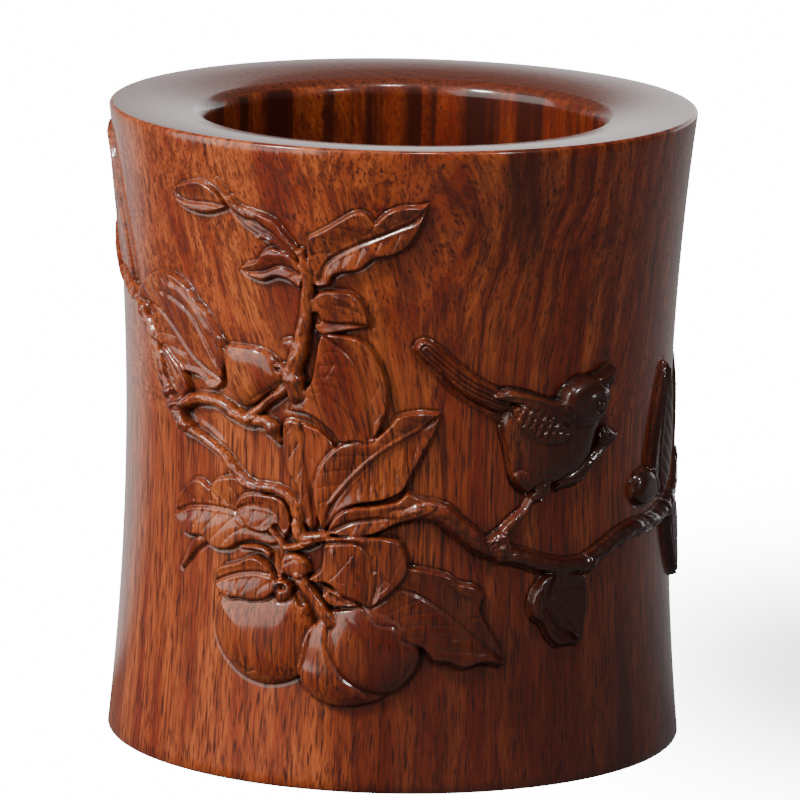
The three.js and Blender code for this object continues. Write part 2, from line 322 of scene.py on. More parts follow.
# The large drooping leaf, and the two leaves below it.
sheet.leaf(
    [(-16.6, 57), (-20, 60), (-20.4, 66), (-23, 70), (-24, 76), (-23.4, 80.6), (-19, 80.4), (-15, 78.6),
     (-12, 74.5), (-13, 69), (-15.6, 64)],
    [(-16.6, 57), (-17.6, 65), (-19, 72), (-19.6, 80.4)],
    level=0.3, rise=1.1, left=0.2, right=0.15, veins=5.5, lean=1.2,
)
sheet.leaf(
    [(-14.8, 56.6), (-14.8, 56.6), (-16.4, 61), (-17, 66), (-15.6, 71.6), (-12.6, 75.4), (-10, 77),
     (-5, 78), (-2, 80.6), (0, 83), (4, 84), (8.8, 83.7), (8.8, 83.7), (7.4, 79), (5.2, 74.6), (3, 70),
     (1, 66.2), (-3, 64.2), (-8, 63.2), (-11.6, 61)],
    [(-14.6, 57), (-13.4, 62), (-10.6, 66.6), (-7, 71), (-3, 74.8), (1, 77.6), (5, 80.2), (8.8, 83.6)],
    level=0.5, rise=1.5, left=0.35, right=-0.05, veins=4.4,
)
sheet.score([(-13.6, 63), (-10.6, 66.9), (-7, 71.3), (-3, 75.1), (1, 77.9), (5, 80.4)], 0.8, -0.55)
sheet.leaf(
    [(-15.6, 100.6), (-15.6, 100.6), (-12, 100.6), (-8, 99.7), (-5, 97), (-3, 93), (-2, 89), (-2, 85),
     (-2.8, 82), (-4, 79), (-5.2, 77.2), (-9, 77), (-11.4, 76.6), (-14, 79.6), (-18, 82.4),
     (-23.4, 83.2), (-21.4, 86), (-18, 89.2), (-17, 94), (-16.4, 98)],
    [(-15.4, 100.4), (-10.4, 96.4), (-7.6, 92), (-6.2, 87), (-5.4, 81), (-5.2, 77.6)],
    level=0.7, rise=1.5, left=0.25, right=0.1, veins=5.0, lean=1.1,
)
sheet.score([(-16, 94), (-15.4, 90), (-12.6, 86), (-9, 81.6)], 0.5, 0.22)
sheet.score([(-15, 90.5), (-13.4, 93), (-12.4, 95.2)], 0.4, 0.12)
sheet.dig([(-24, 84.4), (-22.4, 85), (-21.4, 83.6), (-23, 82.4)], 0.1)

# The small round leaf beside the stem.
sheet.leaf(
    [(-17.6, 103.4), (-18, 107), (-16, 109.5), (-13, 110.1), (-10, 110), (-8, 108.5), (-6.4, 105.8),
     (-5.4, 102.2), (-5.4, 102.2), (-9, 101.6), (-13, 100.6), (-16, 100.4)],
    [(-17, 103.4), (-13, 102.7), (-9, 102.9), (-5.6, 102.4)],
    level=0.6, rise=1.5, left=0.35, right=0.0, veins=5.0,
)
sheet.score([(-13.6, 107.2), (-11, 106.6), (-8, 105.6), (-6.6, 104)], 0.5, 0.25)
sheet.score([(-13, 108.8), (-10.4, 108), (-7.8, 106.2)], 0.7, -0.3)
sheet.dig([(-18, 104.8), (-16, 105), (-15.6, 102.8), (-17.4, 102.4)], 0.1)

# The branch that climbs from the fork, its bud and its spur.
sheet.twig(
    [(-51, 80), (-45.5, 82.4), (-40, 82.8), (-35, 80.8), (-31.5, 79.6)],
    (2.2, 1.5, 1.4, 1.6, 1.5), level=0.5,
)
sheet.twig(
    [(-33, 79.8), (-29, 80), (-26.5, 79), (-24.6, 76)],
    (1.4, 1.5, 1.6, 0.8), level=0.4, knots=((0.75, 0.5),),
)
sheet.twig([(-31.5, 80.4), (-28, 83.6), (-24.5, 86.6), (-21.5, 89.4)], (1.3, 1.1, 1.2, 1.6), level=0.4)
sheet.twig(
    [(-20.6, 86.8), (-21.4, 91), (-20.2, 96), (-19.2, 101), (-18.6, 107), (-18.4, 112.6), (-19.8, 118)],
    (2.0, 2.1, 1.9, 1.6, 1.4, 1.3, 0.8), level=0.9, knots=((0.1, 0.5),),
)
sheet.bulge(
    [(-24.2, 98), (-22.2, 98.8), (-20.6, 98.2), (-21.4, 95.8), (-23, 95.6)],
    level=0.4, rise=1.2, steep=1.4,
)

# The smooth swollen leaf in the middle.
sheet.bulge(
    [(-37.2, 95.4), (-32, 96.1), (-28, 95.6), (-24.6, 93.6), (-22, 91), (-22, 91), (-23.4, 88.4),
     (-27, 85.9), (-30, 83.4), (-33, 82.6), (-36, 84.6), (-37.2, 89)],
    level=0.5, rise=2.0, steep=4.6,
    lines=(
        ([(-36.4, 86.4), (-35, 90), (-34.8, 94)], 0.6, 0.14),
        ([(-22.6, 90), (-27, 87), (-30.4, 84.6)], 0.5, 0.2),
    ),
)
sheet.bulge(
    [(-25.2, 92.8), (-23, 93), (-21.4, 91.4), (-21.6, 89.4), (-24, 90.4)],
    level=1.2, rise=1.6, steep=1.6,
)
sheet.dig([(-25.3, 92.3), (-23.8, 92.4), (-23.6, 91.2), (-25, 91.4)], 1.2, 0.4)

# The curled leaf at the fork and the twig that runs down to the fruit.
sheet.leaf(
    [(-56.5, 90.4), (-54.5, 92.6), (-51.5, 90.5), (-48.8, 88.4), (-47, 85.4), (-47.6, 82.6), (-51, 81),
     (-54, 83.5)],
    [(-55, 91), (-51.5, 87), (-50, 81.6)], level=0.8, rise=1.5, left=0.5, right=-0.5, veins=6.0,
)
sheet.dig([(-54.4, 91.4), (-51.2, 89.2), (-49.4, 86.8), (-50.4, 85.8), (-53, 88.2)], 0.9)
sheet.twig(
    [(-50, 77.8), (-46, 75), (-42, 73.6), (-38, 71.3), (-35.4, 69), (-32.4, 66.2), (-29, 65.2),
     (-24.6, 65.1), (-21.6, 63.2), (-20.2, 60), (-19.9, 56.6), (-18.4, 54.6)],
    (1.9, 1.2, 1.15, 1.2, 1.15, 1.1, 1.3, 1.5, 1.2),
    level=0.7,
    knots=((0.05, 0.6), (0.62, 0.2), (0.95, 0.3)),
)
sheet.dig([(-48.6, 79), (-45.4, 80), (-44, 79), (-44.6, 76.8), (-47.4, 76.9)], -0.1)
sheet.score([(-44.4, 77), (-41, 75.6), (-38, 73.4)], 0.7, -0.35)
sheet.score([(-37.2, 66.2), (-33.6, 66.4), (-31.4, 65.2)], 0.5, -0.5)

# The lower left leaf with its notched edge, and the small round leaf on it.
sheet.twig([(-42.8, 52.2), (-46, 49.6), (-48, 46.6), (-49.4, 44.6)], (1.4, 1.3, 0.6), level=0.1, flat=0.5)
sheet.leaf(
    [(-51.7, 56), (-51.7, 56), (-51.2, 59), (-49.5, 61.6), (-46.4, 64.3), (-44, 64.8), (-42, 63.8),
     (-41, 63.6), (-40.2, 65.2), (-37.6, 66.4), (-34, 66.8), (-29, 64.8), (-24, 62), (-22, 57.5),
     (-23, 54.4), (-26, 52.8), (-30, 53.3), (-33.4, 52.3), (-36, 50.6), (-40, 50.2), (-42, 51.6),
     (-43.4, 52.4), (-47.6, 51.8), (-50.6, 53.4)],
    [(-51.4, 56.2), (-46.6, 58.5), (-41, 59.3), (-35, 59.1), (-29, 57), (-23, 54.6)],
    level=0.4, rise=1.35, left=0.1, right=0.4, veins=4.6,
)
sheet.dig([(-43.4, 65), (-41.6, 65.2), (-40.8, 64.2), (-42.2, 63.6)], -0.1)
sheet.score([(-40.8, 63.2), (-39.6, 61.8), (-38.4, 61)], 0.4, 0.22)
sheet.score([(-36.4, 65.4), (-36.8, 62.6), (-38, 60.8)], 0.4, 0.14)
sheet.leaf(
    [(-34.4, 60), (-33.4, 62.4), (-31, 63.8), (-28, 64), (-24.6, 63.8), (-22.4, 62), (-21.4, 58),
     (-22.6, 55), (-25, 55.6), (-28.6, 55.6), (-32, 56.6)],
    [(-34.2, 59.6), (-31.6, 60.9), (-28.4, 61.3), (-25, 60.4), (-22.8, 57)],
    level=0.9, rise=1.2, left=0.2, right=0.3, veins=5.0,
)
sheet.score([(-34.4, 57.6), (-31.4, 56.2), (-28, 55.8), (-26, 56.8), (-24.6, 57.8)], 0.6, -0.35)

# The two fruits.
sheet.bulge(
    [(-39.2, 35), (-38.6, 39.6), (-36, 41.4), (-28, 42.8), (-21, 43.4), (-17.4, 40.4), (-15.7, 35),
     (-16.2, 30), (-18.4, 25.4), (-22.4, 23), (-27, 22.3), (-32, 23.7), (-36.4, 27.2), (-38.6, 31)],
    level=0.3, rise=2.9, steep=10.0,
    lines=(
        ([(-31.2, 25.6), (-29.8, 24.8), (-28.2, 25.4)], 0.45, 0.3),
        ([(-29.9, 24.4), (-29.8, 26)], 0.4, 0.2),
    ),
)
sheet.bulge(
    [(-18.6, 29), (-17.6, 34), (-15, 38), (-11.6, 40.6), (-7, 42.2), (-2, 41), (2.6, 38), (5.2, 33),
     (5.2, 29), (2.8, 24.8), (-1.4, 21.2), (-6, 19.4), (-10.6, 18.8), (-15, 20), (-18.2, 22.8),
     (-19.2, 26)],
    level=0.4, rise=3.1, steep=9.5,
    lines=(
        ([(-12.6, 37.8), (-13, 34), (-12, 29.6), (-9.4, 25.4), (-5, 22.4), (-1, 21.6)], 1.3, 0.75),
        ([(-12.6, 37.8), (-13, 34), (-12, 29.6), (-9.4, 25.4), (-5, 22.6)], 0.4, 0.25),
        ([(-9, 38.4), (-6, 35.4), (-4.6, 31), (-4, 29.4)], 0.8, 0.1),
    ),
)

# The leaf on the left fruit, and the knot of stalks above the fruits.
sheet.leaf(
    [(-38.6, 43.6), (-38.6, 43.6), (-37.6, 46.6), (-35.6, 47.6), (-33.2, 48.4), (-31.4, 49.6),
     (-29, 50.2), (-26.6, 49), (-25, 46.6), (-23.6, 44.6), (-24.6, 42.6), (-26.6, 41), (-30, 40.4),
     (-33, 40.6), (-35, 40.2), (-37.6, 41.6)],
    [(-38.4, 43.2), (-35.6, 44.8), (-32, 46.2), (-28, 46.9), (-24.6, 46.4)],
    level=1.9, rise=1.2, left=0.0, right=0.35, veins=5.0,
)
sheet.score([(-32.6, 44.8), (-33, 42.8), (-33, 41.4)], 0.5, 0.3)
sheet.score([(-35.8, 47.2), (-33.2, 48.2), (-32.2, 47.4)], 0.5, -0.35)
sheet.twig(
    [(-33, 51.6), (-29, 51.9), (-26, 50.6), (-24.2, 47.6), (-23.2, 45)],
    (0.5, 0.8, 0.9, 0.8), level=0.8,
)
sheet.dig([(-25.6, 51.6), (-24.2, 50), (-23.4, 47), (-24.6, 46.8), (-26, 49.4)], 0.2)
sheet.bulge(
    [(-24.6, 45.4), (-22, 45.6), (-20.6, 43.6), (-21.6, 41.4), (-24, 41.2)],
    level=2.0, rise=0.9, steep=1.8,
)
sheet.dig([(-23.6, 44.8), (-22.2, 45), (-21.8, 43.8), (-23.2, 43.4)], 1.5, 0.4)
sheet.dig([(-20.6, 43.4), (-18.4, 43), (-17.6, 40.8), (-19.4, 40.2)], 0.6)

# The lower right leaf and the big rounded leaf.
sheet.leaf(
    [(-12.4, 41.2), (-7, 41.6), (-5, 39.6), (-3, 37.6), (0, 37.2), (1.6, 34.4), (5, 32.4), (6.6, 31),
     (8, 29.2), (10.4, 29), (14, 27.6), (18, 28.6), (23.2, 27.4), (23.2, 27.4), (22, 31), (20, 35),
     (18.2, 38.4), (17.4, 41), (18.6, 43.6), (18.6, 43.6), (16, 45.6), (13, 46.4), (11, 48), (8, 49),
     (2.4, 50), (-4, 49), (-11, 45)],
    [(-8, 46), (1.5, 45), (6, 43), (10, 40), (14, 36.4), (18, 32.6), (23, 27.6)],
    level=1.0, rise=1.35, left=-0.05, right=0.15, veins=4.8, lean=1.2,
)
sheet.score([(10.6, 46.6), (13, 44.6), (16, 42.6)], 0.6, -0.4)
sheet.score([(14.6, 38.4), (17.4, 38.8)], 0.4, 0.2)
sheet.leaf(
    [(-14, 55.4), (-10, 56.3), (-6, 56.6), (0, 56), (2, 53.4), (2.7, 50), (1.7, 47.2), (-0.4, 44.6),
     (-3, 42.2), (-5.2, 41), (-8, 42.4), (-11, 43.4), (-13.4, 45.6), (-16, 45.6), (-17.6, 46.6),
     (-15, 49)],
    [(-14, 54.6), (-8, 55), (-5.4, 52.6), (-4.2, 49), (-3.6, 45.6), (-4.6, 41.4)],
    level=1.5, rise=1.2, left=0.45, right=0.3, veins=7.0,
)
sheet.score([(-2.8, 48.4), (-1.4, 46.8), (0, 45.8)], 0.5, 0.3)
sheet.score([(-12.4, 54), (-12.2, 50.6)], 0.5, -0.3)
sheet.twig([(-19.6, 46.8), (-17, 43.6), (-14.4, 40), (-12.6, 37.4)], (1.3, 1.3, 1.4), level=1.9, flat=0.6)
sheet.leaf(
    [(-14.6, 45), (-12, 44.6), (-9.6, 42.6), (-6.6, 41.4), (-9, 40.8), (-12.4, 40.8), (-14.6, 43)],
    [(-14.4, 44.8), (-11.4, 42.6), (-7, 41.4)], level=2.0, rise=1.0, veins=6.0,
)
sheet.dig([(-16.2, 45.2), (-13.6, 45.2), (-13.8, 43.6), (-15.4, 43)], 0.7)
sheet.bulge(
    [(-23.6, 49.6), (-22.4, 51.8), (-20, 52), (-17.9, 50.6), (-17.2, 48.4), (-18, 46.9), (-21, 46.4),
     (-23.2, 47.4)],
    level=1.3, rise=1.4, steep=1.8,
    lines=(([(-23, 49), (-20, 50.6), (-17.6, 49.4)], 0.5, 0.12),),
)
sheet.twig(
    [(-25.6, 56), (-23.8, 54.4), (-22.4, 52.8), (-19.6, 53.4), (-17, 54.6)],
    (0.6, 0.9, 1.0, 0.9), level=1.5,
)
sheet.dig([(-25.6, 57.4), (-24.2, 57.6), (-22.9, 55.2), (-23.4, 54.5), (-25, 55.8)], 0.5, 0.4)
sheet.twig([(-20.6, 58), (-19.4, 55.6), (-16.8, 55.4), (-14, 56)], (1.2, 1.4, 1.2), level=1.1)

# The long leaf that lies on the perch, and the perch itself.
sheet.twig(
    [(-3, 61.4), (2, 61.6), (6, 62.6), (9.4, 61.4), (12.4, 58.8), (15.4, 56.2), (18.6, 53.8), (22, 52.6),
     (27, 50.8), (32, 48.9), (37, 47.9), (42, 47.9), (46, 49.6), (51, 51.7), (56, 53), (62, 53.2),
     (68, 53.4), (76, 55), (84, 58.4), (92, 64)],
    (1.0, 2.4, 2.1, 1.8, 1.7, 1.6, 1.7, 1.6, 1.7, 1.5, 1.2),
    level=0.4, bark=0.09, knots=((0.27, 0.7), (0.49, 0.5), (0.8, 0.4)),
)
sheet.leaf(
    [(-14.2, 56.6), (-14.2, 56.6), (-13, 59.6), (-11, 61.8), (-8.6, 62.8), (-5, 63.2), (0, 64.4),
     (2, 66.6), (2, 66.6), (4.4, 65.4), (8, 63.8), (6.6, 62), (3, 60.2), (0, 59.2), (-4, 57), (-9, 56)],
    [(-14, 56.8), (-9, 59.4), (-3, 60.6), (3, 62), (7, 63)],
    level=1.0, rise=1.3, left=0.35, right=0.2, veins=6.0,
)
sheet.score([(-1.4, 62.4), (1, 62.8), (3.4, 62)], 0.5, 0.3)
sheet.score([(2.4, 66), (6, 65), (10, 62.8), (13.6, 59.4), (17, 56.6), (20, 55)], 0.8, -0.35)
sheet.twig([(19.6, 55), (22, 56), (22.6, 53.2)], (1.2, 1.5, 1.5), level=1.2, bark=0.3)

# The hanging withered leaf.
sheet.leaf(
    [(34, 47.2), (30.4, 45.4), (28.4, 42), (28.5, 38), (30.8, 36.2), (32.2, 33.4), (34.4, 31), (38, 31),
     (40.6, 30.4), (40.6, 30.4), (41.2, 34), (42.2, 40), (41.6, 45.6), (38, 46.6)],
    [(34, 47), (32.4, 42), (33.6, 37), (37, 33.4), (40.4, 30.8)],
    level=0.5, rise=1.7, left=0.1, right=0.4, veins=5.5, lean=0.4,
)
sheet.score([(30.4, 44.6), (29.6, 41), (30, 37.8)], 0.8, -0.6)
sheet.score([(31.4, 43.6), (31.6, 40.4), (32.8, 37.8)], 0.6, 0.5)
sheet.score([(36, 37.2), (38.4, 33.6), (40.4, 30.6)], 0.6, -0.5)
sheet.score([(33.2, 41), (35, 42.2)], 0.4, 0.3)

# The right edge: a bud, an upright leaf, and two leaves that hang round the side.
sheet.leaf(
    [(68, 58), (64.8, 62), (65.6, 70), (68.2, 78), (72, 88.5), (72, 88.5), (75, 80), (76, 71), (74, 62)],
    [(69, 58), (69.6, 70), (72, 88)], level=0.6, rise=1.9, left=0.1, right=0.3, veins=3.4,
)
sheet.bulge(
    [(57, 61), (59, 64.6), (62.4, 65.6), (66.4, 64.4), (68.4, 61), (66, 58.2), (61.4, 57.6),
     (58.2, 58.8)],
    level=0.6, rise=2.0, steep=3.0,
    lines=(([(64, 65), (65.6, 61), (64.6, 58)], 0.5, 0.35),),
)
sheet.leaf(
    [(77, 57), (77, 57), (75.4, 51), (77.6, 45), (82, 38.6), (85, 37), (86.6, 42), (86, 49), (82, 55)],
    [(77, 57), (80.6, 49), (84.6, 38)], level=0.6, rise=1.9, left=0.3, right=0.1, veins=4.0,
)
sheet.leaf(
    [(88, 60), (88, 60), (92, 68), (94.6, 78), (101, 88), (101, 88), (104, 78), (101.6, 68), (96, 62)],
    [(88, 60), (98, 72), (101, 87)], level=0.5, rise=1.5, veins=4.2,
)
sheet.leaf(
    [(89, 59), (89, 59), (94, 60), (101, 56), (108, 45), (108, 45), (99, 46), (92, 51)],
    [(89, 59), (98, 53.5), (108, 45)], level=0.4, rise=1.4, veins=4.2,
)


def feathers(outline, spine, level, rise, wide, grooves, cut, wall=0.42):
    """A tail or a long wing: a fan of quills that run beside its spine."""
    outline, spine = smooth(outline, closed=True), smooth(spine)
    place = Place(sheet, outline, 2.0)
    depth = place.inside(outline)
    off, along, side = place.near(spine)
    quill = (off * side) / wide * grooves
    top = level + rise * (1 - (1 - np.clip(np.maximum(depth, 0) / 1.3, 0, 1)) ** 2) ** 0.5
    top = top - cut * bump((quill - np.round(quill)) / grooves * wide, 0.34)
    top = top + 0.03 * np.sin(along * 7.5 + off * 9)
    sheet.lay(place, depth, top, wall=wall)


def scales(outline, spine, level, rise, long, wide, cut):
    """Short overlapping feathers in rows."""
    outline, spine = smooth(outline, closed=True), smooth(spine)
    place = Place(sheet, outline, 2.0)
    depth = place.inside(outline)
    off, along, side = place.near(spine)
    row = np.floor(along / long)
    across = off * side / wide + 0.5 * (row % 2)
    centre = across - np.round(across)
    tip = along / long - row
    lip = np.abs(tip - 0.35 - 1.3 * centre**2)
    top = level + rise * (1 - (1 - np.clip(np.maximum(depth, 0) / 1.6, 0, 1)) ** 2) ** 0.5
    top = top - cut * bump(lip * long, 0.42) + 0.5 * cut * (1 - tip)
    sheet.lay(place, depth, top, wall=0.3, moat=0.15)


def ring(centre, size):
    """Points round a centre on the sheet, closed; size in mm."""
    turns = [math.radians(45 * i) for i in range(9)]
    return [(centre[0] + size / MM_PER_DEGREE * math.cos(a), centre[1] + size * math.sin(a)) for a in turns]


# The second bird looks out from behind the first.
sheet.bulge(
    [(43.2, 73), (44.2, 76.1), (45.2, 78), (46.8, 78.3), (48.2, 77.2), (49.6, 76.5), (52.2, 76),
     (52.2, 76), (50.4, 74.6), (47.9, 72.9), (44.8, 70.5), (42.3, 68.2), (39.9, 66.2), (36.3, 65.8),
     (33.3, 65.3), (35.7, 68.5)],
    level=0.5, rise=1.9, steep=1.9,
    lines=(([(51.4, 75.8), (48.4, 74.8), (45.6, 73.6), (42.5, 71.2)], 0.35, 0.55),),
)
sheet.score(ring((46.0, 76.4), 0.95), 0.32, 0.5)
sheet.score([(45.8, 76.4), (46.2, 76.4)], 0.5, -0.5)

# The first bird: legs, tail, body, wing, and head with its beak turned up.
sheet.twig(
    [(30.4, 66.4), (28.2, 63.4), (26.8, 61.3), (24.6, 59.4), (22.5, 57.2), (21.2, 54.8)],
    (1.1, 0.9, 0.9, 1.2, 1.5), level=0.9, bark=0.2,
)
sheet.twig([(29, 65.2), (31, 64.2)], (0.5, 0.4), level=0.5)
feathers(
    [(2.6, 97.6), (4.0, 98.0), (9.2, 92), (17.5, 85.5), (24.4, 83.6), (24.4, 79.6), (21.1, 80.8),
     (17.6, 83.2), (14.6, 85.1), (12.1, 87.2), (9.2, 90.1), (7.2, 92.3), (5, 94.4)],
    [(4.5, 96.2), (9, 91.2), (15, 86.4), (23.6, 81.6)],
    0.1, 0.9, 1.0, 1, 0.5,
)
feathers(
    [(3.0, 98.2), (3.8, 99.6), (5.0, 100), (6.4, 99.4), (8.6, 97.7), (11.1, 95.3), (14.0, 92.8),
     (16.5, 90.8), (19.5, 89), (23.5, 87.4), (29, 86.2), (29, 82), (23.1, 83.2), (19.7, 84),
     (17.5, 85.1), (14.6, 86.7), (11.7, 88.8), (9.6, 91.2), (7.6, 92.9), (5.5, 94.8), (3.9, 96.4)],
    [(5.2, 97.8), (8.4, 94.7), (12.2, 91.2), (15.6, 88.9), (19.9, 86.7), (27, 84.6)],
    1.2, 1.1, 0.95, 1, 0.6,
)
sheet.bulge(
    [(21.1, 80.2), (22.1, 76.2), (22.8, 72.6), (23.6, 69.1), (24.9, 67), (27.2, 65.3), (29.5, 66),
     (32.3, 66.3), (35.7, 67.3), (39.3, 68.6), (41.9, 71.4), (43.4, 74.5), (44.2, 77.5), (45.2, 80.5),
     (45.8, 83.1), (40.8, 84.6), (35.6, 84.4), (30.9, 84), (26.2, 85.4), (22.4, 84)],
    level=0.7, rise=2.6, steep=6.0,
    lines=(
        ([(24.6, 69), (25.2, 72.5), (24.6, 76.5)], 0.8, 0.3),
        ([(36.4, 74.8), (37.2, 75.2), (38.2, 74.4), (38, 73.6)], 0.4, 0.25),
        ([(28.6, 68.4), (30.6, 69.6), (32.2, 69.4)], 0.5, 0.25),
    ),
)
sheet.bulge(
    [(23.8, 69.3), (25.2, 70.6), (27.2, 69.4), (27.4, 67), (27.4, 65.4), (25.2, 66.8)],
    level=1.4, rise=1.0, steep=1.4,
)
sheet.bulge(
    [(28.8, 66.4), (31, 67.4), (32.8, 66.6), (31.6, 63.8), (28.8, 63.4)],
    level=1.0, rise=0.9, steep=1.2,
)
scales(
    [(23, 84.6), (26.2, 85.4), (29.5, 83.4), (33.4, 81), (35.8, 78.6), (35, 76.8), (32, 76.2),
     (28.6, 76.8), (25.6, 79), (23.6, 81.6)],
    [(36.6, 76.4), (31, 80.4), (23, 84.8)], 3.0, 0.8, 1.8, 1.7, 0.55,
)
feathers(
    [(18.9, 87), (22.5, 88.4), (27.9, 86.9), (31.7, 85.4), (34.9, 84.6), (36.6, 82.6), (36, 80),
     (31.4, 81.4), (28, 83.4), (25.2, 85)],
    [(19.5, 87.2), (26, 86), (31, 83.9), (36.4, 81.6)],
    3.0, 0.8, 1.3, 1, 0.3, 0.3,
)
sheet.bulge(
    [(34.2, 83.6), (34.8, 86.6), (36.7, 88.4), (39.5, 89.5), (43.0, 89.4), (45.4, 88.2), (46.2, 85.7),
     (45.7, 83.1), (44.5, 80.4), (41.0, 79.4), (38.0, 79.6), (35.4, 81.2)],
    level=2.0, rise=2.0, steep=3.2,
    lines=(([(36.4, 82.4), (37.6, 80.9), (38.6, 79.6)], 0.45, 0.4),),
)
sheet.bulge(
    [(42.6, 89.3), (44.6, 89.9), (46.1, 90.6), (48.2, 91.8), (48.2, 91.8), (47.6, 89.2), (46.6, 87),
     (44.6, 87)],
    level=2.2, rise=1.3, steep=1.5,
)
sheet.score([(45.2, 87.4), (46.6, 88.8), (48, 91.2)], 0.32, 0.45)
sheet.score([(39.6, 83.4), (40.4, 85.2), (42.2, 86.1), (44.2, 85.7)], 0.6, -0.55)
sheet.score(ring((43.0, 83.1), 1.25), 0.34, 0.6)
sheet.score([(42.8, 83.1), (43.2, 83.1)], 0.75, -0.45)
sheet.score([(45.4, 86.2), (45.2, 83.6), (44.5, 80.6), (43.6, 77.4)], 0.5, -0.3)


# ----------------------------------------------------------------------------------------------------
# The pieces of the pot.
# ----------------------------------------------------------------------------------------------------
def soften(grid, cells):
    """A box blur, done twice, over a number of cells to each side."""
    size = 2 * cells + 1
    for _ in range(2):
        for axis in (0, 1):
            margins = [(cells + 1, cells) if i == axis else (0, 0) for i in (0, 1)]
            total = np.cumsum(np.pad(grid, margins, mode="edge"), axis)
            length = total.shape[axis]
            upper = np.take(total, range(size, length), axis)
            lower = np.take(total, range(length - size), axis)
            grid = (upper - lower) / size
    return grid


def sample(grid, across, up):
    """Values of a sheet grid at places on it, and 0 off the sheet."""
    column = (across - sheet.across[0]) / CELL
    row = (up - sheet.up[0]) / CELL
    on = (column >= 0) & (row >= 0) & (column < grid.shape[1] - 1.001) & (row < grid.shape[0] - 1.001)
    column, row = np.where(on, column, 0), np.where(on, row, 0)
    i, j = row.astype(int), column.astype(int)
    fi, fj = row - i, column - j
    value = (
        grid[i, j] * (1 - fi) * (1 - fj) + grid[i + 1, j] * fi * (1 - fj)
        + grid[i, j + 1] * (1 - fi) * fj + grid[i + 1, j + 1] * fi * fj
    )
    return np.where(on, value, 0)


def measured(mesh):
    """A mesh's points in mm, how far each is from the pot's axis, and where it is across the sheet."""
    points = np.empty(len(mesh.vertices) * 3)
    mesh.vertices.foreach_get("co", points)
    points = points.reshape(-1, 3) / MM
    radius = np.hypot(points[:, 0], points[:, 1])
    across = np.degrees(np.arctan2(points[:, 0], -points[:, 1])) * MM_PER_DEGREE
    return points, radius, across


def take_up(piece):
    """Makes a piece the only one that is selected."""
    for thing in bpy.context.selected_objects:
        thing.select_set(False)
    piece.select_set(True)
    bpy.context.view_layer.objects.active = piece


def arc(centre_radius, centre_height, radius, start, end, count):
    angles = np.radians(np.linspace(start, end, count))
    return [(centre_radius + radius * math.cos(a), centre_height + radius * math.sin(a)) for a in angles]


def spun(name, profile, turns):
    """A ring turned from a profile of radius and height in mm. turns lists degrees and steps, from +Y."""
    mesh = bpy.data.meshes.new(name)
    piece = bpy.data.objects.new(name, mesh)
    bpy.context.collection.objects.link(piece)
    points = [(0, radius * MM, height * MM) for radius, height in profile]
    edges = [(i, (i + 1) % len(points)) for i in range(len(points))]
    mesh.from_pydata(points, edges, [])
    take_up(piece)
    bpy.ops.object.mode_set(mode="EDIT")
    bpy.ops.mesh.select_all(action="SELECT")
    for degrees, steps in turns:
        bpy.ops.mesh.spin(steps=steps, angle=math.radians(degrees), center=(0, 0, 0), axis=(0, 0, 1))
    bpy.ops.mesh.select_all(action="SELECT")
    bpy.ops.mesh.remove_doubles(threshold=0.000004)
    bpy.ops.mesh.normals_make_consistent(inside=False)
    bpy.ops.object.mode_set(mode="OBJECT")
    return piece


# The centre of the rim's round outer edge, and the centre of the shoulder's arc.
EDGE_HEIGHT = POT_HEIGHT - EDGE_ROUND
RIM_EDGE = float(wall_radius(EDGE_HEIGHT)) - EDGE_ROUND  # the dish of the rim starts here too
SHOULDER_HEIGHT = POT_HEIGHT - RIM_DISH - SHOULDER_RADIUS
SHOULDER_CENTRE = BORE_RADIUS + SHOULDER_RADIUS


def wall_profile():
    """Round the wall's section: foot, outside, rim, shoulder, bore and the rebate for the floor board."""
    low = EDGE_ROUND
    seat_height = BOARD_RECESS + BOARD_THICKNESS + JOINT_GAP
    seat_radius = BORE_RADIUS + SEAT_WIDTH
    heights = np.linspace(low, EDGE_HEIGHT, int((EDGE_HEIGHT - low) / ROW_STEP))
    shoulder = arc(SHOULDER_CENTRE, SHOULDER_HEIGHT, SHOULDER_RADIUS, 90 + DISH_SLOPE, 180, 12)
    dish_radius, dish_height = shoulder[0]
    dish = [
        (RIM_EDGE + (dish_radius - RIM_EDGE) * t, POT_HEIGHT + (dish_height - POT_HEIGHT) * t**2)
        for t in np.linspace(0, 1, 14)[1:-1]
    ]
    return (
        arc(float(wall_radius(low)) - EDGE_ROUND, low, EDGE_ROUND, -90, 0, 6)[:-1]
        + [(float(wall_radius(z)), z) for z in heights]
        + arc(RIM_EDGE, EDGE_HEIGHT, EDGE_ROUND, 0, 90, 7)[1:]
        + dish
        + shoulder
        + [(BORE_RADIUS, z) for z in np.linspace(shoulder[-1][1], seat_height + 0.4, 14)[1:]]
        + [(BORE_RADIUS + 0.4, seat_height), (seat_radius, seat_height), (seat_radius, 0.5)]
        + [(seat_radius + 0.5, 0), (seat_radius + 4, 0.0)]
    )


